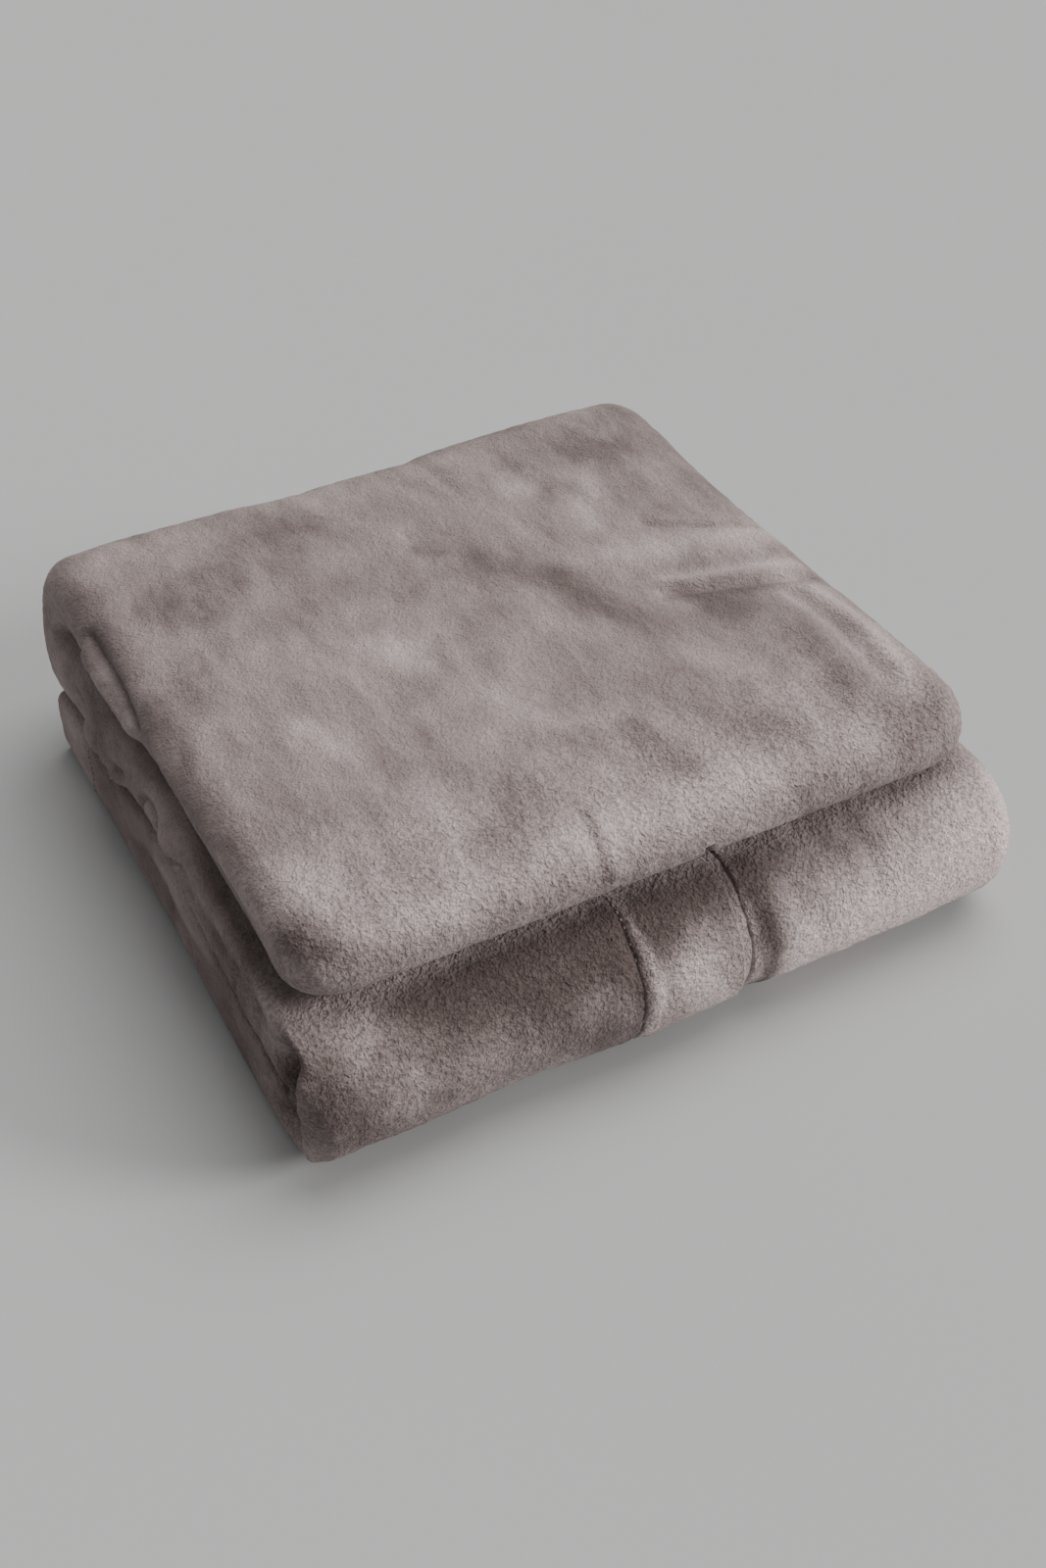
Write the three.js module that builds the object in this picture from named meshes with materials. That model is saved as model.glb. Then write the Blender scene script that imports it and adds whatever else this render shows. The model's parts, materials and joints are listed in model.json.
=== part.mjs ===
// A plush throw blanket, 1.40 m by 2.00 m, folded to a square pack and lying on a table.
//
// The folds, in order:
//   1. in half across its length: 1.00 m long, with one closed end;
//   2. in half across its width: 0.70 m wide, four layers;
//   3. both long sides turned in until they meet, as a gate: a strip 0.35 m wide. In section
//      it is four nested C-shaped layers, whose mouth is the slit between the two flaps;
//   4. in three, as a Z: the bottom third lies on the table, the middle third turns back over
//      it at the front fold, and the top third turns forward again at the back fold.
//
// Millimetres. X runs along the front, Y to the back, Z up. The origin is the middle of the
// pack's footprint, on the table.
import * as THREE from "three";

// Driving dimensions
const PACK_WIDTH = 350;
const PACK_DEPTH = 353;
const THIRD_PITCH = 37; // height that one third takes in the pack
const LAYERS = 4; // nested layers in a third, each met twice from top to bottom
const CLEARANCE = 0.3; // between pieces that touch
const TOP_INSET_LEFT = 6; // the top third is a little narrower than what it lies on
const TOP_INSET_RIGHT = 12.5;
const TOP_SETBACK = 24; // from the front fold back to the closed end of the top third
const CLOSED_END_DEPTH = 30; // rounded nose of the closed end
const OPEN_END_SETBACK = 28; // from the back fold forward to the hems of the bottom third
const HEM_WIDTH = 46;
const STITCH_WIDTH = 1;
const STITCH_ROOM = 1.6; // gap in the outer layer that the hem's stitching lies in
const SLIT_X = 20; // where the left flap's hem ends
const SLIT_WIDTH = 9;
const LABEL_WIDTH = 36;
const LABEL_LENGTH = 22;
const LABEL_THICKNESS = 0.8;
const LABEL_X = 92;

const EDGE_SEGMENTS = 6; // of each rolled side, seen in section
const FOLD_STEPS = 10; // of the half turn at the front and back folds
const NOSE_STEPS = 5;

// Sizes that follow
const THIRD_HEIGHT = THIRD_PITCH - CLEARANCE;
const LAYER_PITCH = THIRD_HEIGHT / (2 * LAYERS);
const LAYER_THICKNESS = LAYER_PITCH - CLEARANCE;
const CREASE_GAP = CLEARANCE / 2; // from a crease line to the third on each side of it
const FRONT = -PACK_DEPTH / 2;
const BACK = PACK_DEPTH / 2;
const FRONT_FOLD_Y = FRONT + THIRD_HEIGHT + CREASE_GAP; // the half turns start on these lines
const BACK_FOLD_Y = BACK - THIRD_HEIGHT - CREASE_GAP;
const OPEN_END_Y = BACK - OPEN_END_SETBACK;
const END_SEAM_Y = OPEN_END_Y - HEM_WIDTH;
const CLOSED_END_Y = FRONT + TOP_SETBACK + CLOSED_END_DEPTH;
const HEM_START_X = SLIT_X - HEM_WIDTH;

const WIDE = { left: -PACK_WIDTH / 2, right: PACK_WIDTH / 2 };
const NARROW = { left: WIDE.left + TOP_INSET_LEFT, right: WIDE.right - TOP_INSET_RIGHT };

const CLOTH = 0x9a8f8d;
const HEM_CLOTH = 0xa39896;
const THREAD = 0x8d8280;
const SATIN = 0xe9e5e0;

function fabric(color, roughness = 0.95) {
  return new THREE.MeshStandardMaterial({ color, roughness, metalness: 0 });
}

// Half of a layer's outline, as points in x and height: from the mouth of the C at height 0,
// round one rolled side, to the same x at the top. side is -1 for the left and 1 for the right.
function halfOutline(span, inset, mouth, side) {
  const wall = side < 0 ? span.left + inset : span.right - inset;
  const radius = THIRD_HEIGHT / 2 - inset;
  const centre = wall - side * radius;
  const points = [[mouth, inset]];
  for (let k = 0; k <= EDGE_SEGMENTS; k++) {
    const angle = -Math.PI / 2 + (k / EDGE_SEGMENTS) * Math.PI;
    const x = centre + side * radius * Math.cos(angle);
    points.push([x, THIRD_HEIGHT / 2 + radius * Math.sin(angle)]);
  }
  return points;
}

// Section of one C-shaped layer between two insets. Its mouth opens at height 0.
function layerSection(span, inset, thickness, mouthLeft) {
  const mouthRight = SLIT_X + SLIT_WIDTH;
  return [
    ...halfOutline(span, inset, mouthLeft, -1),
    ...halfOutline(span, inset, mouthRight, 1).reverse(),
    ...halfOutline(span, inset + thickness, mouthRight, 1),
    ...halfOutline(span, inset + thickness, mouthLeft, -1).reverse(),
  ];
}

// The whole section of a third, with no mouth.
function closedSection(span) {
  const mouth = (span.left + span.right) / 2;
  const right = halfOutline(span, 0, mouth, 1).slice(1);
  const left = halfOutline(span, 0, mouth, -1).slice(1);
  return [...right, ...left.reverse()];
}

function barSection(x0, x1, low, high) {
  return [[x0, low], [x1, low], [x1, high], [x0, high]];
}

// Carries a section along a path: path.place(x, h, t) is where the section's point at x and
// height h comes to, at the share t of the way along. The mouth of the section's C is turned to
// the upper side where path.slitUp says so.
function carry(section, path) {
  const corners = section.map(([x, h]) => new THREE.Vector2(x, path.slitUp ? THIRD_HEIGHT - h : h));
  const options = { depth: path.steps, steps: path.steps, bevelEnabled: false };
  const geometry = new THREE.ExtrudeGeometry(new THREE.Shape(corners), options);
  const position = geometry.getAttribute("position");
  for (let v = 0; v < position.count; v++) {
    const share = Math.round(position.getZ(v)) / path.steps;
    position.setXYZ(v, ...path.place(position.getX(v), position.getY(v), share));
  }
  geometry.computeVertexNormals();
  return geometry;
}

function straight(third, back, front) {
  const floor = third.level * THIRD_PITCH;
  const place = (x, h, t) => [x, back + (front - back) * t, floor + h];
  return { steps: 1, slitUp: third.slitUp, place };
}

// Half a turn round a crease line, from one third's plane to the next one's. Heights in the
// section become distances from the crease.
function halfTurn(fold) {
  const narrow = (x, share) => {
    const across = (x - WIDE.left) / PACK_WIDTH;
    const narrowed = NARROW.left + across * (NARROW.right - NARROW.left);
    return x + (narrowed - x) * share;
  };
  const place = (x, h, t) => {
    const angle = fold.side * (t - 0.5) * Math.PI;
    const radius = CREASE_GAP + h;
    const y = fold.y + fold.side * radius * Math.cos(angle);
    const z = fold.creaseZ + radius * Math.sin(angle);
    return [fold.narrows ? narrow(x, t) : x, y, z];
  };
  return { steps: FOLD_STEPS, slitUp: fold.slitUp, place };
}

const blanket = new THREE.Group();

function add(name, geometry, material) {
  const mesh = new THREE.Mesh(geometry, material);
  mesh.name = name;
  blanket.add(mesh);
}

const LAYER_NAMES = ["outer_layer", "second_layer", "third_layer", "inner_layer"];

// The four nested layers of a third or a fold, the hem along the left flap of the outermost
// one, and that hem's stitching.
function addStrip(name, span, path) {
  LAYER_NAMES.forEach((layer, k) => {
    const mouthLeft = k === 0 ? HEM_START_X - STITCH_ROOM : SLIT_X;
    const section = layerSection(span, k * LAYER_PITCH, LAYER_THICKNESS, mouthLeft);
    add(`${name}_${layer}`, carry(section, path), fabric(CLOTH));
  });
  const hem = barSection(HEM_START_X, SLIT_X, 0, LAYER_THICKNESS);
  add(`${name}_flap_hem`, carry(hem, path), fabric(HEM_CLOTH));
  const seamX = HEM_START_X - STITCH_ROOM / 2;
  const half = STITCH_WIDTH / 2;
  const middle = LAYER_THICKNESS / 2;
  const stitch = barSection(seamX - half, seamX + half, middle - half, middle + half);
  add(`${name}_flap_stitching`, carry(stitch, path), fabric(THREAD, 0.7));
}

// The open end of the bottom third: each layer stops in a hem of its own.
function addOpenEnd(third) {
  LAYER_NAMES.forEach((layer, k) => {
    const section = layerSection(WIDE, k * LAYER_PITCH, LAYER_THICKNESS, SLIT_X);
    const geometry = carry(section, straight(third, OPEN_END_Y, END_SEAM_Y));
    add(`end_hem_${layer}`, geometry, fabric(HEM_CLOTH));
  });
  const inset = (LAYER_THICKNESS - STITCH_WIDTH) / 2;
  const section = layerSection(WIDE, inset, STITCH_WIDTH, SLIT_X);
  const back = END_SEAM_Y - (STITCH_ROOM - STITCH_WIDTH) / 2;
  const geometry = carry(section, straight(third, back, back - STITCH_WIDTH));
  add("end_hem_stitching", geometry, fabric(THREAD, 0.7));
}

// The closed end of the top third, where all its layers turn together at the first fold: its
// section shrinks to a blunt line as it comes forward, along a quarter of an ellipse.
function addClosedEnd(third) {
  const depth = CLOSED_END_DEPTH - CLEARANCE;
  const middleX = (NARROW.left + NARROW.right) / 2;
  const halfWidth = (NARROW.right - NARROW.left) / 2;
  const middleZ = third.level * THIRD_PITCH + THIRD_HEIGHT / 2;
  const bluntness = NOSE_STEPS / (NOSE_STEPS + 0.5);
  const place = (x, h, t) => {
    const angle = (Math.PI / 2) * t * bluntness;
    const shrink = Math.cos(angle);
    const narrowed = 1 - (depth * (1 - shrink)) / halfWidth;
    return [
      middleX + (x - middleX) * narrowed,
      CLOSED_END_Y - CLEARANCE - depth * Math.sin(angle),
      middleZ + (h - THIRD_HEIGHT / 2) * shrink,
    ];
  };
  const path = { steps: NOSE_STEPS, slitUp: third.slitUp, place };
  add("top_third_closed_end", carry(closedSection(NARROW), path), fabric(CLOTH));
}

// A blank satin care label, sewn to the upper end hem so that it sticks out at the back.
function addLabel() {
  const geometry = new THREE.BoxGeometry(LABEL_WIDTH, LABEL_LENGTH, LABEL_THICKNESS);
  const z = THIRD_HEIGHT - LAYER_THICKNESS / 2;
  geometry.translate(LABEL_X, OPEN_END_Y + CLEARANCE + LABEL_LENGTH / 2, z);
  add("care_label", geometry, fabric(SATIN, 0.4));
}

const bottom = { level: 0, slitUp: false };
const middle = { level: 1, slitUp: true };
const top = { level: 2, slitUp: false };
const frontFold = { side: -1, y: FRONT_FOLD_Y, creaseZ: THIRD_PITCH - CREASE_GAP, slitUp: true };
const backFold = {
  side: 1, y: BACK_FOLD_Y, creaseZ: 2 * THIRD_PITCH - CREASE_GAP, slitUp: false, narrows: true,
};
const afterFrontFold = FRONT_FOLD_Y + CLEARANCE;
const beforeBackFold = BACK_FOLD_Y - CLEARANCE;

addOpenEnd(bottom);
addStrip("bottom_third", WIDE, straight(bottom, END_SEAM_Y - STITCH_ROOM, afterFrontFold));
addStrip("front_fold", WIDE, halfTurn(frontFold));
addStrip("middle_third", WIDE, straight(middle, beforeBackFold, afterFrontFold));
addStrip("back_fold", WIDE, halfTurn(backFold));
addStrip("top_third", NARROW, straight(top, beforeBackFold, CLOSED_END_Y));
addClosedEnd(top);
addLabel();

export default blanket;
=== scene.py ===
"""A plush throw blanket, folded to a square pack of three thirds in a Z.

The cloth is built the way it lies. Every layer is a grid: stations along the folded strip by
points round its section. place() puts the grid in the row frame, relief() presses and puffs
it, and closed_sheet() gives it its thickness and rounded edges. Each layer is then cut at the
creases, so that the thirds ride on their bodies; the folds are attached to no body.
"""
import itertools
import json
import math

import bmesh
import bpy
import numpy as np
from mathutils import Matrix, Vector
from mathutils.kdtree import KDTree


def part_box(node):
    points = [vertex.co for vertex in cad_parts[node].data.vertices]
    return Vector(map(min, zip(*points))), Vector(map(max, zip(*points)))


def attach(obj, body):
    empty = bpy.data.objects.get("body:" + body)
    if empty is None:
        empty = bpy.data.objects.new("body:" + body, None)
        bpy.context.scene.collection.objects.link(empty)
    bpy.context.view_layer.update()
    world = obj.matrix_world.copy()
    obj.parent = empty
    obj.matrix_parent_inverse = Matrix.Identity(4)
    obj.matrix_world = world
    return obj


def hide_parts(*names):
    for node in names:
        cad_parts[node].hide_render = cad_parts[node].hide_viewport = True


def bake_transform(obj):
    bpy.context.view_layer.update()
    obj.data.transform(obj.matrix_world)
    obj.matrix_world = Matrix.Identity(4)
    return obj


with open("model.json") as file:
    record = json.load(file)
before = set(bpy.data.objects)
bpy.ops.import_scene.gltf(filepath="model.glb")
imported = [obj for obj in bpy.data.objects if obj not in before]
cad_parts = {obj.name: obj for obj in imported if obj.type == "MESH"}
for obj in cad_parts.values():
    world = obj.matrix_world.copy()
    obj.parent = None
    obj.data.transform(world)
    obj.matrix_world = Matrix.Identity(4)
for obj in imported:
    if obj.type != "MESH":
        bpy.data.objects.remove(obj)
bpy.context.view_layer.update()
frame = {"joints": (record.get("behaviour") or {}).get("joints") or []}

MM = 0.001

# ---------------------------------------------------------------- sizes, from the frame

joint_at = {j["name"]: j["pos_m"] for j in frame["joints"]}
FRONT_Y, FRONT_Z = joint_at["front_fold"][1:]
BACK_Y, BACK_Z = joint_at["back_fold"][1:]
WIDE = [corner.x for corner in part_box("middle_third_outer_layer")]
NARROW = [corner.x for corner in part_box("top_third_outer_layer")]
GAP = BACK_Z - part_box("middle_third_outer_layer")[1].z  # from a crease line to the cloth
HEIGHT = BACK_Z - FRONT_Z - 2 * GAP  # of one third
OPEN_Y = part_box("end_hem_outer_layer")[1].y
END_SEAM_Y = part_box("end_hem_outer_layer")[0].y
STRIP_START_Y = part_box("bottom_third_outer_layer")[1].y
NOSE_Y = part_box("top_third_outer_layer")[0].y
NOSE_TIP_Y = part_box("top_third_closed_end")[0].y
HEM_X = [corner.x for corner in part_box("bottom_third_flap_hem")]
STITCH_X = [corner.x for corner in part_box("bottom_third_flap_stitching")]
LAYER_PITCH = HEIGHT / 8
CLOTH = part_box("bottom_third_flap_hem")[1].z  # thickness of one layer
SLIT = 9 * MM  # between the flap's hem and the edge of the next flap
SLIT_RIGHT_X = HEM_X[1] + SLIT

# Lengths along the strip, from the open end of the bottom third to the tip of the nose.
FOLD_ARC = math.pi * HEIGHT / 2
U_FRONT = OPEN_Y - FRONT_Y
U_MIDDLE = U_FRONT + FOLD_ARC
U_BACK = U_MIDDLE + (BACK_Y - FRONT_Y)
U_TOP = U_BACK + FOLD_ARC
U_NOSE = U_TOP + (BACK_Y - NOSE_Y)
NOSE_DEPTH = NOSE_Y - NOSE_TIP_Y
U_TIP = U_NOSE + NOSE_DEPTH

# The rest of the make, which the frame does not hold.
FINE = 2.3 * MM  # mesh steps on the layers that show
COARSE = 5 * MM
LIP_ANGLES = [math.radians(a) for a in (30, 60, 90, 120, 150)]  # round a free edge
HELD_REACH = 14 * MM  # how far from a fold the inside of a crease stays put
STITCH_PITCH = 3.6 * MM
STITCH_SHARE = 0.72  # of the pitch, that a stitch shows

# The simulated skin: a coarse closed hull round the whole pack.
HULL_STEP = 8 * MM
HULL_INSET = 1 * MM
HULL_WELD = 1 * MM
HULL_SEAM_X = 0.0
SIM_FRAMES = 20
SIM_PRESSURE = 0.15
SWELL_CAP = 4.5 * MM

# Linear colours.
# PLUSH_DARK and PLUSH_LIGHT are the ends of the plush mix, which carries painted shade and painted
# light as well as the nap's own lighter and darker patches.
PLUSH_DARK = (0.098, 0.073, 0.069, 1)
PLUSH_LIGHT = (0.720, 0.602, 0.582, 1)
PLUSH_SHEEN = (0.95, 0.86, 0.85, 1)
THREAD_DARK = (0.27, 0.225, 0.215, 1)
THREAD_LIGHT = (0.39, 0.33, 0.32, 1)
LABEL_DARK = (0.74, 0.73, 0.71, 1)
LABEL_LIGHT = (0.83, 0.82, 0.80, 1)
FLOOR_LOW = (0.495, 0.495, 0.495, 1)
FLOOR_HIGH = (0.505, 0.505, 0.505, 1)

FLOOR_SIZE = 30
FLOOR_Z = -0.3 * MM
AMBIENT = 0.28
SUN_COLOUR = (1.0, 0.99, 0.98)
# Name, the direction that it shines from, strength, and width in degrees.
SUNS = [("key", (0.42, 0.16, 0.92), 2.25, 52), ("side", (0.86, -0.56, 0.40), 2.6, 20)]
CAMERA_AT = Vector((-0.3186, -0.6050, 0.6104))
CAMERA_LOOKS_AT = Vector((-0.010, -0.039, 0.050))
CAMERA_LENS = 42.43


def smooth(low, high, value):
    """0 below low, 1 above high, and smooth between them. low may be above high."""
    t = np.clip((value - low) / (high - low), 0, 1)
    return t * t * (3 - 2 * t)


def hump(value, centre, width):
    return np.exp(-(((value - centre) / width) ** 2))


def noise(points, wavelength, seed):
    """Smooth noise from -1 to 1 at the points, with one random value at each lattice corner."""
    size = 32
    lattice = np.random.default_rng(seed).uniform(-1, 1, (size, size, size))
    q = points / wavelength
    cell = np.floor(q).astype(int)
    f = q - cell
    f = f * f * f * (f * (f * 6 - 15) + 10)
    total = np.zeros(points.shape[:-1])
    for corner in itertools.product((0, 1), repeat=3):
        weight = np.prod(np.where(corner, f, 1 - f), axis=-1)
        i, j, k = np.moveaxis((cell + corner) % size, -1, 0)
        total += weight * lattice[i, j, k]
    return total


# ---------------------------------------------------------------- the folded strip


def place(u, x, n, inset=0.0):
    """Row-frame points of the strip: u along it, x across, n up from the slit's side. inset is
    how far inside the outermost layer the piece lies."""
    u, x, n = np.broadcast_arrays(u, x, n)
    y = OPEN_Y - u
    z = np.array(n)

    turn = np.clip((u - U_FRONT) / FOLD_ARC, 0, 1) * math.pi
    radius = GAP + HEIGHT - n
    on = u > U_FRONT
    y = np.where(on, FRONT_Y - radius * np.sin(turn) + np.maximum(u - U_MIDDLE, 0), y)
    z = np.where(on, FRONT_Z - radius * np.cos(turn), z)

    turn = np.clip((u - U_BACK) / FOLD_ARC, 0, 1) * math.pi
    radius = GAP + n
    on = u > U_BACK
    y = np.where(on, BACK_Y + radius * np.sin(turn) - np.maximum(u - U_TOP, 0), y)
    z = np.where(on, BACK_Z - radius * np.cos(turn), z)

    share = smooth(U_BACK, U_TOP, u)
    across = (x - WIDE[0]) / (WIDE[1] - WIDE[0])
    x = x + share * (NARROW[0] + across * (NARROW[1] - NARROW[0]) - x)

    # The nose: the section shrinks along a quarter of an ellipse, inner layers inside outer.
    middle_z = BACK_Z + GAP + HEIGHT / 2
    middle_x = sum(NARROW) / 2
    half_x = (NARROW[1] - NARROW[0]) / 2
    angle = np.clip((u - U_NOSE) / NOSE_DEPTH, 0, 1) * math.pi / 2
    on = u > U_NOSE
    y = np.where(on, NOSE_Y - (NOSE_DEPTH - inset) * np.sin(angle), y)
    z = np.where(on, middle_z + (n - HEIGHT / 2) * np.cos(angle), z)
    narrowed = 1 - NOSE_DEPTH * (1 - np.cos(angle)) / half_x
    x = np.where(on, middle_x + (x - middle_x) * narrowed, x)
    return np.stack([x, y, z], axis=-1)


def evenly(start, end, step):
    """Values from start to end, both included, about step apart."""
    count = max(2, round(abs(end - start) / step) + 1)
    return np.linspace(start, end, count)


def stations(start, end, step):
    """Places along the strip, closer together in the folds, whose outside is twice as long."""
    marks = [(U_FRONT, 1), (U_MIDDLE, 0.5), (U_BACK, 1), (U_TOP, 0.5), (U_NOSE, 1), (U_TIP, 0.6)]
    found, at = [np.array([start])], start
    for mark, share in marks:
        stop = min(mark, end)
        if stop > at + 1e-9:
            found.append(evenly(at, stop, step * share)[1:])
            at = stop
    return np.concatenate(found)


def ring(inset, mouth, step):
    """x and n of the points round a layer's section, from the left edge of the mouth down the
    slit's side, over the top and back to the right edge."""
    radius = HEIGHT / 2 - inset
    left, right = WIDE[0] + HEIGHT / 2, WIDE[1] - HEIGHT / 2
    turn = evenly(-math.pi / 2, math.pi / 2, step * 0.85 / radius)
    west = evenly(mouth[0], left, step)
    mid = evenly(mouth[0], mouth[1], step)[1:-1]
    east = evenly(mouth[1], right, step)
    over = np.concatenate([west[::-1], mid, east])
    low, high = np.full(1, inset), np.full(1, HEIGHT - inset)
    x = [west, left - radius * np.cos(turn)[1:-1], over, right + radius * np.cos(turn)[1:-1],
         east[::-1]]
    side = HEIGHT / 2 + radius * np.sin(turn)[1:-1]
    n = [np.repeat(low, len(west)), side, np.repeat(high, len(over)), side[::-1],
         np.repeat(low, len(east))]
    return np.concatenate(x), np.concatenate(n)


def normals_of(grid):
    """Outward unit normals of a grid of points, stations by ring."""
    along = np.gradient(grid, axis=0)
    around = np.gradient(grid, axis=1)
    normal = np.cross(along, around)
    return normal / np.maximum(np.linalg.norm(normal, axis=-1, keepdims=True), 1e-12)


# ---------------------------------------------------------------- simulation


def way_round(x, n):
    """How far round the section a point of any layer is, from the middle of the slit's side."""
    radius = HEIGHT / 2
    left, right = WIDE[0] + radius, WIDE[1] - radius
    reach, width = HULL_SEAM_X - left, right - left
    west = np.arctan2(n - radius, left - x) + math.pi / 2
    east = math.pi / 2 - np.arctan2(n - radius, x - right)
    over = reach + math.pi * radius
    flat = np.where(n > radius, over + x - left,
                    np.where(x < HULL_SEAM_X, HULL_SEAM_X - x,
                             over + width + math.pi * radius + right - x))
    return np.where(x < left, reach + west * radius,
                    np.where(x > right, over + width + east * radius, flat))


def closed_hull(grid):
    """An object of one closed skin through a grid of stations by ring, capped at both ends."""
    index = np.arange(grid.shape[0] * grid.shape[1]).reshape(grid.shape[:2])
    after = np.roll(index, -1, axis=1)
    quads = np.stack([index[:-1], index[1:], after[1:], after[:-1]], -1).reshape(-1, 4)
    caps = [index[0].tolist(), index[-1][::-1].tolist()]
    mesh = bpy.data.meshes.new("hull")
    mesh.from_pydata(grid.reshape(-1, 3).tolist(), [], quads.tolist() + caps)
    shape = bmesh.new()
    shape.from_mesh(mesh)
    bmesh.ops.remove_doubles(shape, verts=shape.verts, dist=HULL_WELD)
    bmesh.ops.triangulate(shape, faces=[face for face in shape.faces if len(face.verts) > 4])
    bmesh.ops.recalc_face_normals(shape, faces=shape.faces)
    shape.to_mesh(mesh)
    shape.free()
    hull = bpy.data.objects.new("hull", mesh)
    bpy.context.scene.collection.objects.link(hull)
    return hull


def swollen(hull):
    """Runs the hull as cloth under a light pressure. Returns where its points were, and how far
    each of them then stood out along its normal."""
    cloth = hull.modifiers.new("cloth", "CLOTH").settings
    cloth.quality = 6
    cloth.mass = 0.3
    cloth.tension_stiffness = cloth.compression_stiffness = 15
    cloth.shear_stiffness = 6
    cloth.bending_stiffness = 0.6
    cloth.use_pressure = True
    cloth.uniform_pressure_force = SIM_PRESSURE
    cloth.effector_weights.gravity = 0
    for frame_number in range(1, SIM_FRAMES + 1):
        bpy.context.scene.frame_set(frame_number)
    done = hull.evaluated_get(bpy.context.evaluated_depsgraph_get())
    rest, normal, moved = (np.zeros(len(hull.data.vertices) * 3, np.float32) for _ in range(3))
    hull.data.vertices.foreach_get("co", rest)
    hull.data.vertices.foreach_get("normal", normal)
    done.data.vertices.foreach_get("co", moved)
    bpy.context.scene.frame_set(1)
    rest, normal, moved = (values.reshape(-1, 3) for values in (rest, normal, moved))
    stood = ((moved - rest) * normal).sum(axis=1)
    return rest, np.clip(stood, -SWELL_CAP, SWELL_CAP)


def simulated_swell():
    """Lets the skin of the whole pack swell and wrinkle. Returns the places along the strip and
    round it, and how far the skin stood out there."""
    u = stations(OPEN_Y - STRIP_START_Y, U_TIP - 2 * MM, HULL_STEP)
    x, n = ring(HULL_INSET, (HULL_SEAM_X, HULL_SEAM_X + HULL_STEP), HULL_STEP)
    grid = place(u[:, None], x[None, :], n[None, :], HULL_INSET)
    hull = closed_hull(grid)
    points, stood = swollen(hull)
    bpy.data.objects.remove(hull)
    tree = KDTree(len(points))
    for i, point in enumerate(points):
        tree.insert(point, i)
    tree.balance()
    nearest = [tree.find(point)[1] for point in grid.reshape(-1, 3)]
    return u, way_round(x, n), stood[nearest].reshape(len(u), len(x))


def soften(field, reach):
    """Averages a field over reach neighbours along and across, twice, keeping its edges."""
    kernel = np.ones(2 * reach + 1) / (2 * reach + 1)
    for axis in (0, 1, 0, 1):
        pad = [(reach, reach) if a == axis else (0, 0) for a in (0, 1)]
        wide = np.pad(field, pad, mode="edge")
        field = np.apply_along_axis(np.convolve, axis, wide, kernel, mode="valid")
    return field


def swell_at(u, x, n):
    """The simulated swell on a grid of stations by ring, in millimetres."""
    rows, around, swell = SWELL
    order = np.argsort(around)
    place_round = way_round(x, n)[0]
    across = np.stack([np.interp(place_round, around[order], row[order]) for row in swell])
    whole = np.stack([np.interp(u[:, 0], rows, column) for column in across.T], axis=1)
    spacing = max(abs(u[1, 0] - u[0, 0]), 1e-6)
    return soften(whole, max(1, round(HULL_STEP / spacing / 2))) / MM


# ---------------------------------------------------------------- relief


def near_line(a, b, line, width):
    """1 on the line through these points of the plane (a, b), falling to 0 over the width."""
    nearest = np.full(np.broadcast(a, b).shape, np.inf)
    for (a0, b0), (a1, b1) in zip(line, line[1:]):
        da, db = a1 - a0, b1 - b0
        t = np.clip(((a - a0) * da + (b - b0) * db) / (da * da + db * db), 0, 1)
        nearest = np.minimum(nearest, np.hypot(a - a0 - t * da, b - b0 - t * db))
    return np.exp(-((nearest / width) ** 2))


# Smooth noise as (wavelength in mm, height in mm, seed).
SWELLING = [(95, 1.4, 1), (41, 0.8, 2), (17, 0.35, 3)]
TUFTS = [(5.2, 0.16, 4), (2.6, 0.26, 7)]

# Soft valleys and ridges as (line in mm, width, depth); a ridge has a negative depth.
TOP_LINES = [
    ([(100, 40), (124, 28), (150, 18)], 2.8, 2.4),
    ([(60, 20), (100, 10), (140, 2)], 13.0, -1.6),
    ([(80, -8), (110, -17), (150, -25)], 3.0, -1.4),
    ([(78, -14), (112, -24), (150, -32)], 3.4, 2.2),
    ([(141, -44), (144, -80), (141, -112)], 4.0, -1.8),
    ([(131, -40), (135, -80), (130, -118)], 4.5, 2.0),
    ([(116, -60), (120, -90), (112, -122)], 6.0, -1.2),
    ([(-31, -128), (-36, -162)], 2.0, 1.8),
    ([(-26, -130), (-31, -160)], 3.0, -0.9),
    ([(62, 118), (84, 70)], 9.0, 1.3),
]
LEFT_LINES = [
    ([(-152, 76), (-147, 50), (-142, 12)], 7.0, 10.0),
    ([(-163, 58), (-162, 16)], 5.0, -2.5),
    ([(92, 105), (56, 104), (22, 101)], 2.4, 5.0),
    ([(86, 96), (56, 94), (30, 93)], 5.5, -3.5),
    ([(60, 99), (34, 97)], 1.8, 2.0),
    ([(88, 86), (52, 84), (20, 83)], 2.6, 5.5),
    ([(114, 84), (98, 82)], 2.8, 4.5),
    ([(112, 62), (96, 60)], 2.8, 4.5),
    ([(72, 66), (60, 57), (50, 49)], 3.4, -4.5),
    ([(12, 98), (-8, 92), (-26, 86)], 4.5, 7.5),
    ([(70, 66), (58, 56), (40, 60)], 3.0, 4.0),
    ([(58, 72), (44, 66), (30, 72)], 3.0, 3.0),
    ([(92, 56), (70, 50), (50, 48)], 6.0, -3.0),
    ([(-40, 66), (-62, 58), (-80, 62)], 5.0, 3.0),
    ([(-70, 70), (-100, 62), (-126, 66)], 6.0, 2.5),
    ([(-20, 74), (-34, 68)], 6.0, -3.0),
    ([(20, 26), (-30, 20), (-80, 24)], 10.0, 1.6),
]
FRONT_LINES = [
    ([(93, 64), (92, 48)], 5.0, 1.6),
    ([(-92, 60), (-86, 30)], 9.0, 1.4),
    ([(52, 66), (60, 40)], 7.0, 1.2),
]


def squared(x, n, inset, power):
    """Fills out the half-round left side of a layer: 2 is round, and a high power is square."""
    radius = HEIGHT / 2 - inset
    left = WIDE[0] + HEIGHT / 2
    height = np.clip(np.abs(n - HEIGHT / 2) / radius, 0, 1)
    return np.where(x < left, left - radius * (1 - height**power) ** (1 / power), x)


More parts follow.
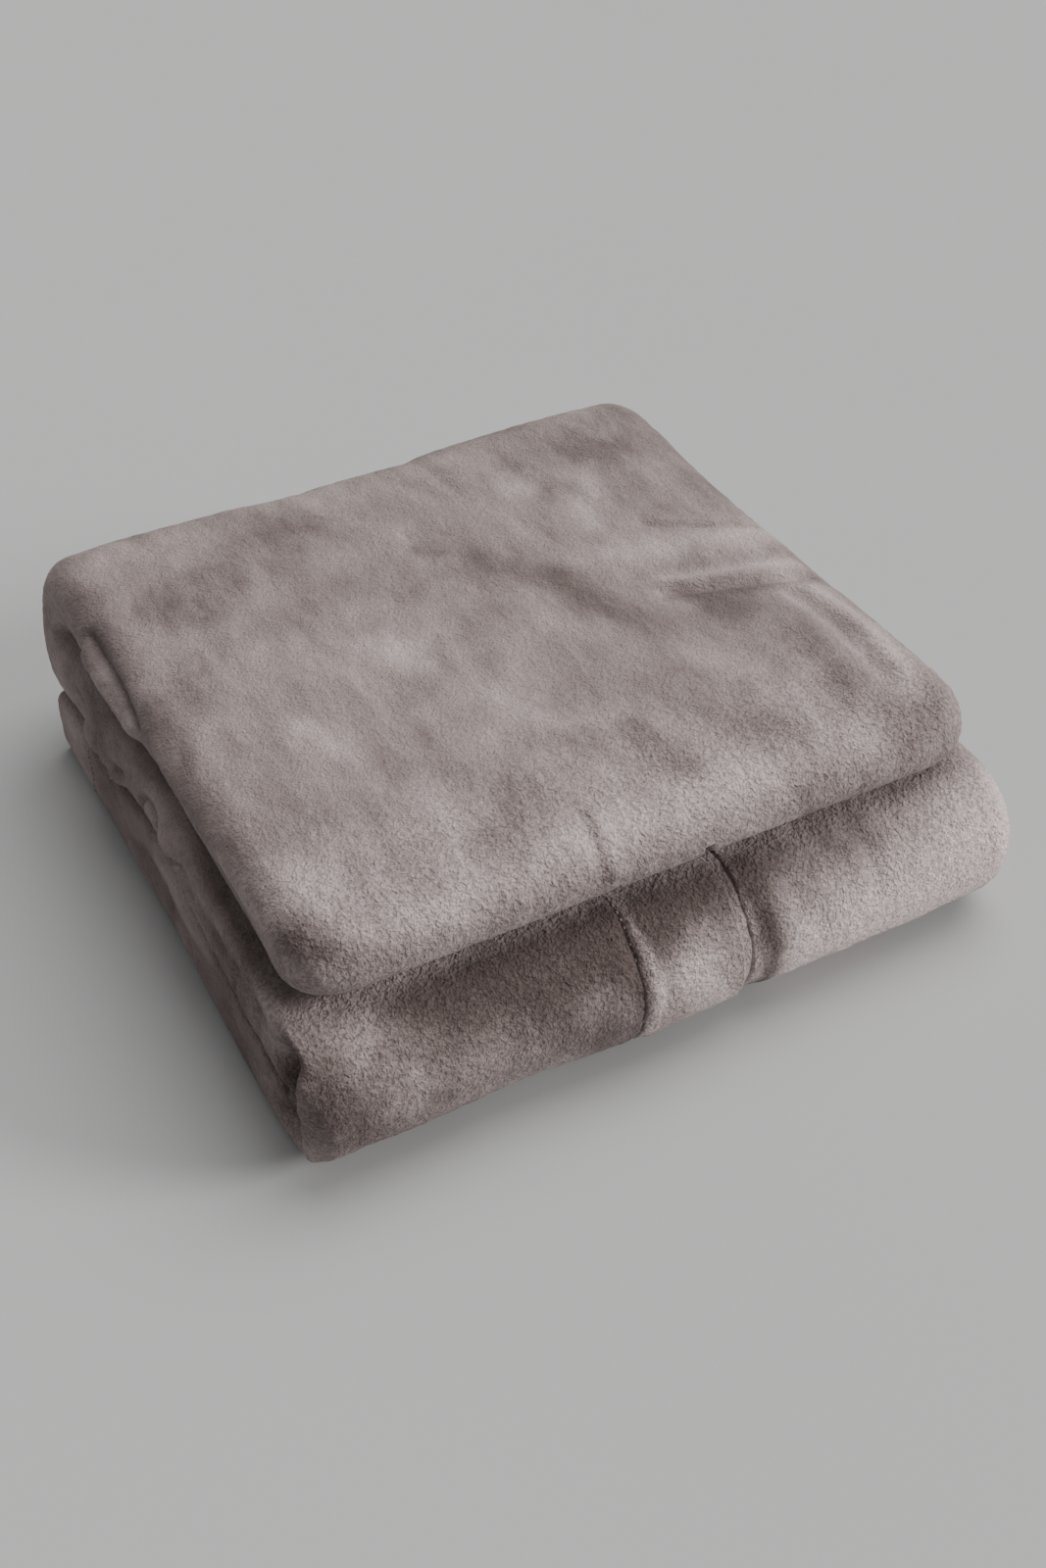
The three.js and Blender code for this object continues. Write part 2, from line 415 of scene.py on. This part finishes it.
def lean(points):
    """Raises the grooves between the thirds along the left side of the pack, which is fuller
    below. lift is how far each groove rises, in millimetres."""
    x, y, z = (points[..., i] / MM for i in range(3))
    crease = [FRONT_Z / MM, BACK_Z / MM]
    lift = [17 * hump(y, 5, 45) + 5 * hump(y, -62, 40), 12 * hump(y, -8, 38)]
    low = np.clip(z / crease[0], 0, 1)
    mid = np.clip((z - crease[0]) / (crease[1] - crease[0]), 0, 1)
    high = np.clip((z - crease[1]) / (HEIGHT / MM), 0, 1)
    rise = lift[0] * low + (lift[1] - lift[0]) * mid - lift[1] * high
    moved = points.copy()
    moved[..., 2] += rise * smooth(-132, -172, x) * MM
    return moved


def layered_noise(points, layers):
    return sum(height * noise(points, wavelength * MM, seed) for wavelength, height, seed in layers)


def side_power(u):
    """How square the left side is: round in the top third, squarer in the bottom third and most
    of all beside the front fold, whose own side is rounder."""
    near_front = smooth(U_FRONT - 0.13, U_FRONT - 0.02, u) * smooth(
        U_MIDDLE + 0.13, U_MIDDLE + 0.02, u)
    in_fold = smooth(U_FRONT, U_FRONT + 0.02, u) * smooth(U_MIDDLE, U_MIDDLE - 0.02, u)
    return 2.2 + 3 * smooth(U_FRONT, U_FRONT - 0.02, u) + (6 - 4.6 * in_fold) * near_front


def side_relief(u, n, y, plain, facing_left, turned):
    """Along the left side the middle third has lumps and tucks, the bottom third has shallower
    tucks, and the top third is drawn in underneath. In millimetres, as y is."""
    side = smooth(0.1, 0.7, facing_left)
    middle = smooth(U_MIDDLE, U_MIDDLE + 0.04, u) * smooth(U_BACK, U_BACK - 0.02, u)
    lumps = middle * (4.2 * noise(plain, 27 * MM, 8) - 1.0)
    tucks = hump(noise(plain * [1, 1.2, 1], 25 * MM, 9), 0, 0.17)
    tucks *= (4.2 * middle + 1.3 * (1 - middle)) * (1 - turned) * smooth(110, 60, y)
    drawn_in = 5.0 * smooth(U_BACK, U_BACK + 0.05, u) * smooth(0.75, 0.25, n / HEIGHT)
    drawn_in *= smooth(U_TIP - 0.01, U_NOSE - 0.03, u)
    return side * (lumps - tucks - drawn_in)


def hem_relief(x, plain, low, hem):
    """The hem is double cloth, drawn in along its seam and puckered beside it. Across the slit,
    the edge of the next flap dips. In millimetres, as x is."""
    seam = x - HEM_X[0] / MM - 1.5 * noise(plain, 23 * MM, 5)
    edge = x - SLIT_RIGHT_X / MM
    drawn_in = 0.9 * hump(seam, 0, 2.4) - 0.5 * hump(seam, 5, 4) - 0.5 * hump(seam, -7, 4)
    puckers = 1.3 * noise(plain * [0.6, 1, 1], 8 * MM, 6) * hump(seam, 1, 7)
    dip = 1.6 * hump(edge, 0, 6) * (1 - hem)
    return 1.4 * hem + low * (puckers - drawn_in - dip)


def held_at_creases(u, high, low):
    """1 on the inside of a crease, where nothing moves, so the thirds still meet there when
    they open."""
    at_front = smooth(U_FRONT - HELD_REACH, U_FRONT, u) * smooth(U_MIDDLE + HELD_REACH, U_MIDDLE, u)
    at_back = smooth(U_BACK - HELD_REACH, U_BACK, u) * smooth(U_TOP + HELD_REACH, U_TOP, u)
    return high * at_front + low * at_back


def in_slit(u, x, low):
    """How far a layer under the edge of the flap stands up into the slit, in millimetres."""
    shown = smooth(U_FRONT - 0.03, U_FRONT, u) * smooth(U_MIDDLE + 0.04, U_MIDDLE + 0.01, u)
    return 4.0 * low * shown * hump(x, (SLIT_RIGHT_X - SLIT / 2) / MM, SLIT / MM)


def relief(u, x, n, inset=0.0, hem=0.0):
    """Points of the cloth where it really lies: the plain strip, pressed and puffed. hem is 1
    where the cloth is double."""
    u, x, n = np.broadcast_arrays(u, x, n)
    plain = place(u, squared(x, n, inset, side_power(u)), n, inset)
    points = lean(plain)
    normal = normals_of(points)
    px, py, pz = (points[..., i] / MM for i in range(3))
    high = smooth(0.55, 0.9, n / HEIGHT)
    low = smooth(0.45, 0.1, n / HEIGHT)
    quarter = FOLD_ARC / 4
    front = smooth(U_FRONT, U_FRONT + quarter, u) * smooth(U_MIDDLE, U_MIDDLE - quarter, u)
    turned = smooth(U_BACK, U_BACK + quarter, u)
    face = high * smooth(U_TOP - quarter, U_TOP, u)
    west = smooth(0.35, 0.9, -normal[..., 0])

    out = layered_noise(plain, SWELLING) + swell_at(u, x, n)
    for lines, a, b, where in (
        (TOP_LINES, px, py, face), (LEFT_LINES, py, pz, west), (FRONT_LINES, px, pz, front * low),
    ):
        for line, width, depth in lines:
            out -= where * depth * near_line(a, b, line, width)
    # Behind, the right half of the top lies a little higher.
    out += 1.6 * smooth(28, 38, px) * high * turned * smooth(40, 120, py)
    out += side_relief(u, n, py, plain, -normal[..., 0], turned)
    out += hem_relief(px, plain, low, hem)

    # Where the thirds press on each other or on the floor, the cloth cannot stand out.
    pressed = np.clip(low * (1 - front) + high * (1 - turned), 0, 1)
    out = out * (1 - pressed) + np.minimum(out, 0) * 0.2 * pressed
    held = held_at_creases(u, high, low)
    out *= 1 - np.clip(held, 0, 1)
    if inset > 0:
        out += in_slit(u, px, low)
    else:
        free = 1 - np.clip(0.6 * pressed + held, 0, 1)
        out += layered_noise(plain, TUFTS) * free * (0.5 + 0.9 * tufted(py))
    moved = points + normal * out[..., None] * MM
    moved[..., 2] = np.maximum(moved[..., 2], 0)
    return moved


# ---------------------------------------------------------------- meshes


def tip_partners(x, n):
    """For each point of a ring, the one that it meets where the nose closes, or itself."""
    partner = np.arange(len(x))
    upper = np.flatnonzero(n > HEIGHT / 2)
    for j in np.flatnonzero(n < HEIGHT / 2):
        near = upper[np.argmin(np.abs(x[upper] - x[j]) + np.abs(n[upper] + n[j] - HEIGHT))]
        if abs(x[near] - x[j]) + abs(n[near] + n[j] - HEIGHT) < 1e-6:
            partner[j] = near
    return partner


def half_round_lips(outer, normal, thickness, edges):
    """Round a sheet's free edges: for each point, the (number, normal) of the points of its lip
    from the outer face to the inner one, and the points that this adds after both faces."""
    outward = {}
    for a, b in edges:
        side = np.cross(outer[b] - outer[a], normal[a])
        side /= max(np.linalg.norm(side), 1e-12)
        for v in (a, b):
            outward[v] = outward.get(v, 0) + side
    lips, extra = {}, []
    for v, side in outward.items():
        side = side / max(np.linalg.norm(side), 1e-12)
        middle = outer[v] - normal[v] * thickness / 2
        lips[v] = [(v, normal[v])]
        for angle in LIP_ANGLES:
            out = normal[v] * math.cos(angle) + side * math.sin(angle)
            lips[v].append((2 * len(outer) + len(extra), out))
            extra.append(middle + out * thickness / 2)
        lips[v].append((v + len(outer), -normal[v]))
    return lips, extra


def closed_sheet(outer, normal, quads, station, thickness, cuts):
    """Points, faces and corner normals of a closed sheet whose outer face is made of quads. Its
    free edges are half round. At the stations in cuts it ends flat, against the next piece."""
    count = len(outer)
    points = [outer, outer - normal * thickness]
    faces, corners = [], []
    for face in quads.tolist():
        face = [v for i, v in enumerate(face) if v != face[i - 1]]
        faces.append(face)
        corners += [normal[v] for v in face]
        faces.append([v + count for v in reversed(face)])
        corners += [-normal[v] for v in reversed(face)]

    edges = set()
    for face in faces[::2]:
        edges.update(zip(face, face[1:] + face[:1]))
    free = sorted((a, b) for a, b in edges if (b, a) not in edges)
    flat_ended = {e for e in free if station[e[0]] == station[e[1]] and station[e[0]] in cuts}

    lips, extra = half_round_lips(outer, normal, thickness, [e for e in free if e not in flat_ended])
    for a, b in free:
        if (a, b) in flat_ended:
            flat = np.cross(outer[b] - outer[a], normal[a])
            faces.append([b, a, a + count, b + count])
            corners += [flat / max(np.linalg.norm(flat), 1e-12)] * 4
            continue
        for (a0, a1), (b0, b1) in zip(zip(lips[a], lips[a][1:]), zip(lips[b], lips[b][1:])):
            strip = [b0, a0, a1, b1]
            faces.append([v for v, _ in strip])
            corners += [way for _, way in strip]
    # Where a lip runs into a cut, its end is closed.
    follows = dict(free)
    for a, b in free:
        if ((a, b) in flat_ended) != ((b, follows[b]) in flat_ended):
            rim = [v for v, _ in lips[b]]
            rim = rim if (a, b) in flat_ended else rim[::-1]
            faces.append(rim)
            corners += [np.zeros(3)] * len(rim)
    points = np.concatenate([*points, np.array(extra).reshape(-1, 3)])
    used, packed = np.unique(np.concatenate(faces), return_inverse=True)
    ends = np.cumsum([len(face) for face in faces])
    faces = [part.tolist() for part in np.split(packed, ends[:-1])]
    return points[used], faces, corners


def to_object(name, points, faces, corners):
    mesh = bpy.data.meshes.new(name)
    mesh.from_pydata(points.tolist(), [], faces)
    mesh.polygons.foreach_set("use_smooth", [True] * len(mesh.polygons))
    mesh.normals_split_custom_set([tuple(c) for c in corners])
    obj = bpy.data.objects.new(name, mesh)
    bpy.context.scene.collection.objects.link(obj)
    return obj


def cut_sheet(grid, thickness, spans, partner=None):
    """The closed sheet on a grid of points, cut into named spans of stations. All of them keep
    the normals of the whole, so no seam shows between them."""
    rows, columns = grid.shape[:2]
    index = np.arange(rows * columns).reshape(rows, columns)
    normal = normals_of(grid)
    if partner is not None:
        grid[-1] = (grid[-1] + grid[-1][partner]) / 2
        index[-1] = index[-1][partner]
        normal[-1] = [0, -1, 0]
    quads = np.stack([index[:-1, :-1], index[1:, :-1], index[1:, 1:], index[:-1, 1:]], -1)
    station = np.repeat(np.arange(rows), columns)
    made = {}
    for name, (first, last) in spans.items():
        cuts = {first, last} - {0, rows - 1}
        made[name] = to_object(name, *closed_sheet(
            grid.reshape(-1, 3), normal.reshape(-1, 3), quads[first:last].reshape(-1, 4),
            station, thickness, cuts,
        ))
    return made


# ---------------------------------------------------------------- pieces

# Where the nap leans over and looks darker or stands and looks lighter, and where shade and light
# are painted on,
# as (line in mm, width, amount): on the upper face, on the front fold and along the left side.
TOP_NAP_AND_SHADING = [
    # Painted highlights along two ridges of the top.
    ([(59, 21), (113, 14), (145, 6)], 14, 0.9),
    ([(140, -20), (143, -90), (138, -125)], 9, 0.7),
    # A painted highlight along the top's rounded front edge.
    ([(100, -139), (15, -138), (-50, -138), (-123, -152)], 13, 0.6),
    ([(72, -104), (83, -87), (62, -60)], 8, 0.5),
    ([(-35, -40), (-28, -62)], 12, 0.5),
    ([(-82, -90), (-75, -108)], 12, 0.4),
    ([(-108, -28), (-100, -45)], 9, 0.5),
    ([(-56, 12), (-46, -16)], 8, 0.4),
    ([(104, 100), (76, 50)], 7, 0.4),
    ([(-152, -104), (-140, -136)], 12, 0.5),
    # Painted shade on the top's front-left corner, which turns away from the light.
    ([(-158, -136), (-146, -160), (-108, -168)], 14, -1.1),
    # A painted highlight on a crease's ridge and painted shade in its groove.
    ([(84, -5), (112, -13), (148, -20)], 4, 0.6),
    ([(82, -19), (114, -29), (148, -36)], 5, -0.6),
    ([(-166, 120), (-166, -100)], 12, -0.5),
    ([(20, 64), (16, 40), (50, 14)], 14, -0.6),
    ([(42, -6), (66, -34), (100, -38)], 13, -0.6),
    ([(-9, 68), (-2, 62)], 5, -0.45),
    ([(12, -92), (22, -124)], 8, -0.6),
    ([(125, -60), (116, -104)], 11, -0.6),
    ([(62, 76), (85, 104), (120, 104)], 12, -0.5),
    ([(-47, 61), (-84, 48)], 13, -0.35),
    ([(-7, -92), (-24, -78)], 11, -0.4),
    ([(-120, 90), (-40, 118)], 28, -0.4),
]
FRONT_NAP_AND_SHADING = [
    # Painted shade down the left end of the front fold and along the left of its foot, in this line
    # and the next.
    ([(-166, 60), (-160, 30)], 13, -1.0),
    ([(-150, 16), (-90, 10)], 9, -0.5),
    ([(-2, 48), (10, 18)], 12, 1.4),
    # Painted light on the right end of the front fold, in this line and the next.
    ([(64, 22), (112, 34), (172, 46)], 28, 2.2),
    ([(60, 12), (150, 24)], 14, 0.6),
    # Painted shadow of the top third's overhang on the upper front fold.
    ([(-120, 77), (-56, 70), (-20, 74), (30, 80)], 16, -2.0),
    ([(-60, 40), (-44, 28)], 14, -0.7),
    # More painted shadow of the overhang, on the right.
    ([(50, 72), (92, 68)], 11, -0.8),
    # A painted highlight on the seam's ridge and painted shade beside it.
    ([(-24, 74), (-20, 44), (-24, 16)], 2.5, 1.6),
    ([(-31, 74), (-28, 44), (-31, 16)], 3, -0.8),
    # Painted shade at the right edge of the slit.
    ([(33, 80), (38, 40), (38, 10)], 5, -1.5),
]
LEFT_NAP_AND_SHADING = [
    # Painted shade along the left side, which faces away from the lights.
    ([(-120, 20), (70, 20)], 26, -0.5),
    ([(-110, 66), (90, 62)], 16, -0.4),
    ([(-150, 60), (-140, 20)], 9, -0.8),
]


def tufted(y):
    """How plainly the pile stands in separate tufts: most where the pack was handled, in front."""
    return 0.45 + 0.55 * smooth(-60, -140, y)


def paint_nap_and_shading(piece):
    """How light the nap looks at each vertex, with painted shade and painted light, which the plush
    material reads.
    """
    at = np.zeros(len(piece.data.vertices) * 3, np.float32)
    piece.data.vertices.foreach_get("co", at)
    x, y, z = (at.reshape(-1, 3) / MM).T
    # The upper face, the front fold and the left side, which the lists are drawn on.
    upper = smooth(96, 106, z)
    fore = smooth(-140, -156, y) * smooth(84, 76, z)
    aside = smooth(-150, -164, x) * (1 - upper)
    total = np.zeros(len(x))
    for lines, a, b, where in ((TOP_NAP_AND_SHADING, x, y, upper), (FRONT_NAP_AND_SHADING, x, z, fore),
                               (LEFT_NAP_AND_SHADING, y, z, aside)):
        for line, width, amount in lines:
            total += where * amount * near_line(a, b, line, width)
    painted = {"nap": np.clip(total, -1.6, 2.2), "tuft": tufted(y)}
    for name, values in painted.items():
        layer = piece.data.attributes.new(name, "FLOAT", "POINT")
        layer.data.foreach_set("value", values.astype(np.float32))


STRETCHES = {
    "bottom_third": (OPEN_Y - STRIP_START_Y, U_FRONT),
    "front_fold": (U_FRONT, U_MIDDLE),
    "middle_third": (U_MIDDLE, U_BACK),
    "back_fold": (U_BACK, U_TOP),
    "top_third": (U_TOP, U_TIP),
}
FOLDS = {"front_fold": ("bottom_third", "middle_third", FRONT_Z),
         "back_fold": ("middle_third", "top_third", BACK_Z)}
LAYERS = ["outer_layer", "second_layer", "third_layer", "inner_layer"]


def go_with(piece, stretch):
    """A third rides on its body; a fold is attached to no body and stays where it lies."""
    if stretch not in FOLDS:
        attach(piece, stretch)
        return
    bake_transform(piece)


def lay_strip(part, around, inset, step, plush, hem=0.0):
    """One layer, or the hem, along the whole strip from the end hem to the tip."""
    x, n = around
    u = stations(OPEN_Y - STRIP_START_Y, U_TIP, step)
    grid = relief(u[:, None], x[None, :], n[None, :], inset, hem)
    spans = {
        stretch: (int(np.argmin(np.abs(u - start))), int(np.argmin(np.abs(u - end))))
        for stretch, (start, end) in STRETCHES.items()
    }
    named = {f"cloth_{stretch}_{part}": span for stretch, span in spans.items()}
    partner = tip_partners(x, n) if len(np.unique(n)) > 1 else None
    made = cut_sheet(grid, CLOTH, named, partner)
    for stretch, piece in zip(STRETCHES, made.values()):
        go_with(piece, stretch)
        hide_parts(f"{stretch}_{part}")
        piece.data.materials.append(plush)
        paint_nap_and_shading(piece)
    return made


def lay_end_hem(layer, around, inset, plush):
    """The turned hem on the open end of one layer of the bottom third."""
    x, n = around
    length = OPEN_Y - END_SEAM_Y
    u = evenly(0, length, FINE)
    grid = relief(u[:, None], x[None, :], n[None, :], inset)
    name = f"cloth_end_hem_{layer}"
    piece = cut_sheet(grid, CLOTH, {name: (0, len(u) - 1)})[name]
    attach(piece, "bottom_third")
    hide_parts(f"end_hem_{layer}")
    piece.data.materials.append(plush)
    paint_nap_and_shading(piece)


def stitches(name, points, ups, thread):
    """Short thread stitches along a line of points, each sunk at both ends."""
    steps = np.linalg.norm(np.diff(points, axis=0), axis=1)
    along = np.concatenate([[0], np.cumsum(steps)])
    verts, faces = [], []
    sides, rings = 6, 5
    for start in np.arange(STITCH_PITCH / 2, along[-1] - STITCH_PITCH, STITCH_PITCH):
        at = np.linspace(start, start + STITCH_SHARE * STITCH_PITCH, rings)
        line = np.stack([np.interp(at, along, points[:, i]) for i in range(3)], -1)
        up = np.stack([np.interp(at, along, ups[:, i]) for i in range(3)], -1)
        way = line[-1] - line[0]
        way /= max(np.linalg.norm(way), 1e-12)
        arch = np.sin(np.linspace(0, math.pi, rings))
        base = len(verts)
        for centre, rise, share in zip(line, up, arch):
            side = np.cross(way, rise)
            centre = centre + rise * (0.5 * share - 0.2) * MM
            radius = (0.16 + 0.26 * share) * MM
            centre[2] = max(centre[2], radius)  # under the pack they are pressed into the pile
            for turn in np.linspace(0, 2 * math.pi, sides, endpoint=False):
                verts.append(centre + radius * (rise * math.cos(turn) + side * math.sin(turn)))
        for r in range(rings - 1):
            for s in range(sides):
                t = (s + 1) % sides
                faces.append([base + r * sides + s, base + r * sides + t,
                              base + (r + 1) * sides + t, base + (r + 1) * sides + s])
        faces.append([base + s for s in reversed(range(sides))])
        faces.append([base + (rings - 1) * sides + s for s in range(sides)])
    mesh = bpy.data.meshes.new(name)
    mesh.from_pydata([tuple(v) for v in verts], [], faces)
    mesh.polygons.foreach_set("use_smooth", [True] * len(faces))
    piece = bpy.data.objects.new(name, mesh)
    bpy.context.scene.collection.objects.link(piece)
    mesh.materials.append(thread)
    return piece


def sew_flap(thread):
    """The line of stitches that holds the flap's hem, stretch by stretch. On the inside of the
    back fold the seam is shorter than one stitch, so the middle third's stitches end there."""
    x = np.mean(STITCH_X) + np.array([1, 0, -1]) * MM
    for stretch, (start, end) in STRETCHES.items():
        if stretch == "back_fold":
            continue
        u = evenly(start, end - 1e-6, 1.5 * MM)
        grid = relief(u[:, None], x[None, :], np.zeros((1, 3)))
        name = f"{stretch}_flap_stitches"
        piece = stitches(name, grid[:, 1], normals_of(grid)[:, 1], thread)
        go_with(piece, stretch)
        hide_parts(f"{stretch}_flap_stitching")
        if stretch == "middle_third":
            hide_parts("back_fold_flap_stitching")


def sew_end(around, thread):
    x, n = around
    u = OPEN_Y - END_SEAM_Y + np.array([-1, 0, 1]) * MM
    grid = relief(u[:, None], x[None, :], n[None, :])
    piece = stitches("end_hem_stitches", grid[1], normals_of(grid)[1], thread)
    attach(piece, "bottom_third")
    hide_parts("end_hem_stitching")


def make_label(satin):
    """The blank care label: a folded satin tape that droops a little from the hem."""
    low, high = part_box("care_label")
    rows, columns = 25, 13
    across = np.linspace(high.x, low.x, columns)[None, :]
    out = np.linspace(low.y, high.y, rows)[:, None]
    share = (out - low.y) / (high.y - low.y)
    wave = 0.5 * np.sin(7 * share + 40 * across) * share * MM
    droop = 1.2 * MM * share**2
    z = high.z - 0.1 * MM + wave - droop
    grid = np.stack(np.broadcast_arrays(across, out, z), -1)[::-1]
    name = "blank_care_label"
    piece = cut_sheet(grid, high.z - low.z, {name: (0, rows - 1)})[name]
    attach(piece, "bottom_third")
    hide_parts("care_label")
    piece.data.materials.append(satin)


# ---------------------------------------------------------------- materials


class Nodes:
    """A material's node tree, built by short calls."""

    def __init__(self, name):
        self.material = bpy.data.materials.new(name)
        self.material.use_nodes = True
        self.tree = self.material.node_tree
        self.shader = self.tree.nodes["Principled BSDF"]
        self.where = self.add("ShaderNodeTexCoord").outputs["Object"]

    def add(self, kind, **inputs):
        node = self.tree.nodes.new(kind)
        for key, value in inputs.items():
            self.put(node.inputs[key], value)
        return node

    def put(self, socket, value):
        if isinstance(value, bpy.types.NodeSocket):
            self.tree.links.new(value, socket)
        else:
            socket.default_value = value

    def stroked(self):
        """Coordinates in which noise is drawn out into strokes, as a hand leaves in the pile."""
        node = self.add("ShaderNodeMapping", Vector=self.where, Rotation=(0, 0, math.radians(-24)),
                        Scale=(1.2, 0.42, 1.0))
        return node.outputs["Vector"]

    def noise(self, wavelength, detail=2.0, distortion=0.0, where=None):
        """Smooth noise round 0.5 whose features are about wavelength apart, in metres."""
        node = self.add("ShaderNodeTexNoise", Vector=where or self.where, Scale=1 / wavelength,
                        Detail=detail, Distortion=distortion)
        return node.outputs["Fac"]

    def spread(self, value, low, high, to_low, to_high):
        node = self.add("ShaderNodeMapRange", Value=value)
        node.interpolation_type = "SMOOTHSTEP"
        for key, number in zip(("From Min", "From Max", "To Min", "To Max"),
                               (low, high, to_low, to_high)):
            node.inputs[key].default_value = number
        return node.outputs["Result"]

    def math(self, operation, a, b):
        node = self.tree.nodes.new("ShaderNodeMath")
        node.operation = operation
        self.put(node.inputs[0], a)
        self.put(node.inputs[1], b)
        return node.outputs[0]

    def plus(self, a, b):
        return self.math("ADD", a, b)

    def times(self, a, b):
        return self.math("MULTIPLY", a, b)

    def mix(self, share, a, b):
        node = self.tree.nodes.new("ShaderNodeMix")
        node.data_type = "RGBA"
        self.put(node.inputs["Factor"], share)
        self.put(node.inputs[6], a)
        self.put(node.inputs[7], b)
        return node.outputs[2]

    def bump(self, height, distance, strength=1.0, under=None):
        node = self.add("ShaderNodeBump", Height=height, Distance=distance, Strength=strength)
        if under is not None:
            self.tree.links.new(under, node.inputs["Normal"])
        return node.outputs["Normal"]


def plush_material():
    """Short dense pile: smudges where the nap leans over, painted shade and painted light from the
    vertices, fine tufts and a soft sheen.
    """
    m = Nodes("taupe_plush")
    painted = m.add("ShaderNodeAttribute")
    painted.attribute_name = "nap"
    tuft = m.add("ShaderNodeAttribute")
    tuft.attribute_name = "tuft"

    # Broad patches, strokes and short strokes of nap, with the nap tone, painted shade and painted
    # light painted on the vertices.
    smudge = m.plus(m.times(m.noise(0.070, 3, 0.7), 0.5),
                    m.times(m.noise(0.020, 3, 0.5, m.stroked()), 0.45))
    smudge = m.plus(smudge, m.times(m.noise(0.007, 2, 0.6, m.stroked()), 0.2))
    lean = m.plus(m.times(smudge, 0.85), m.times(painted.outputs["Fac"], 0.25))
    nap = m.spread(lean, 0.08, 1.156, 0.0, 1.0)

    grain = m.plus(m.times(m.noise(0.0012, 2, 0.2), 0.55), m.times(m.noise(0.0022, 2, 0.4), 0.45))
    contrast = m.times(m.spread(grain, 0.36, 0.64, -0.24, 0.24), tuft.outputs["Fac"])
    colour = m.add("ShaderNodeHueSaturation", Color=m.mix(nap, PLUSH_DARK, PLUSH_LIGHT),
                   Value=m.plus(contrast, 1.0))
    m.put(m.shader.inputs["Base Color"], colour.outputs["Color"])
    m.put(m.shader.inputs["Roughness"], m.spread(nap, 0.0, 1.0, 0.95, 0.8))
    m.shader.inputs["Sheen Weight"].default_value = 0.15
    m.shader.inputs["Sheen Roughness"].default_value = 0.4
    m.shader.inputs["Sheen Tint"].default_value = PLUSH_SHEEN
    m.shader.inputs["Specular IOR Level"].default_value = 0.12

    standing = m.times(m.noise(0.0022, 2, 0.4), tuft.outputs["Fac"])
    soft = m.bump(standing, 0.0024, 0.8)
    m.put(m.shader.inputs["Normal"], m.bump(m.noise(0.0010, 2), 0.0010, 0.8, soft))
    return m.material


def thread_material():
    m = Nodes("polyester_thread")
    ply = m.add("ShaderNodeTexWave", Vector=m.where, Scale=900.0, Distortion=1.0)
    ply.bands_direction = "DIAGONAL"
    m.put(m.shader.inputs["Base Color"], m.mix(ply.outputs["Fac"], THREAD_DARK, THREAD_LIGHT))
    m.shader.inputs["Roughness"].default_value = 0.5
    m.shader.inputs["Sheen Weight"].default_value = 0.2
    m.put(m.shader.inputs["Normal"], m.bump(ply.outputs["Fac"], 0.0002, 0.5))
    return m.material


def label_material():
    m = Nodes("white_satin")
    weave = m.add("ShaderNodeTexWave", Vector=m.where, Scale=650.0, Distortion=0.4)
    m.put(m.shader.inputs["Base Color"], m.mix(m.noise(0.006), LABEL_DARK, LABEL_LIGHT))
    m.shader.inputs["Roughness"].default_value = 0.38
    m.shader.inputs["Sheen Weight"].default_value = 0.15
    m.put(m.shader.inputs["Normal"], m.bump(weave.outputs["Fac"], 0.0001, 0.35))
    return m.material


# ---------------------------------------------------------------- the blanket

SWELL = simulated_swell()
plush, thread, satin = plush_material(), thread_material(), label_material()
for k, layer in enumerate(LAYERS):
    depth = k * LAYER_PITCH
    step = FINE if k == 0 else COARSE
    # The inner layers' edges lie under the hem, so the slit shows cloth and not a hole.
    under = (2 * k - 8) * MM
    mouth = (STITCH_X[0], SLIT_RIGHT_X) if k == 0 else (under, under + SLIT)
    section = ring(depth, mouth, step)
    lay_strip(layer, section, depth, step, plush)
    end_section = ring(depth, (HEM_X[1] if k == 0 else mouth[0], mouth[1]), FINE)
    lay_end_hem(layer, end_section, depth, plush)
    if k == 0:
        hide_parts("top_third_closed_end")
        sew_end(end_section, thread)
hem_x = evenly(HEM_X[1], HEM_X[0], FINE)
lay_strip("flap_hem", (hem_x, np.zeros(len(hem_x))), 0.0, FINE, plush, hem=1.0)
sew_flap(thread)
make_label(satin)

# ---------------------------------------------------------------- floor, lights and camera


def floor_material():
    m = Nodes("pale_floor")
    m.put(m.shader.inputs["Base Color"], m.mix(m.noise(0.3), FLOOR_LOW, FLOOR_HIGH))
    m.shader.inputs["Roughness"].default_value = 0.9
    m.shader.inputs["Specular IOR Level"].default_value = 0.0
    return m.material


def sun(name, toward, strength, softness):
    """A distant light that shines from the direction toward; softness is its width in degrees."""
    light = bpy.data.lights.new(name, "SUN")
    light.energy = strength
    light.angle = math.radians(softness)
    light.color = SUN_COLOUR
    lamp = bpy.data.objects.new(name, light)
    lamp.rotation_euler = Vector(toward).to_track_quat("Z", "Y").to_euler()
    bpy.context.scene.collection.objects.link(lamp)


bpy.ops.mesh.primitive_plane_add(size=FLOOR_SIZE, location=(0, 0, FLOOR_Z))
floor = bpy.context.object
floor.name = "floor"
floor.data.materials.append(floor_material())

world = bpy.data.worlds.new("studio")
world.use_nodes = True
world.node_tree.nodes["Background"].inputs["Color"].default_value = (1, 1, 1, 1)
world.node_tree.nodes["Background"].inputs["Strength"].default_value = AMBIENT
bpy.context.scene.world = world
for settings in SUNS:
    sun(*settings)

camera = bpy.data.objects.new("camera", bpy.data.cameras.new("camera"))
camera.location = CAMERA_AT
camera.rotation_euler = (CAMERA_AT - CAMERA_LOOKS_AT).to_track_quat("Z", "Y").to_euler()
camera.data.lens = CAMERA_LENS
bpy.context.scene.collection.objects.link(camera)
bpy.context.scene.camera = camera
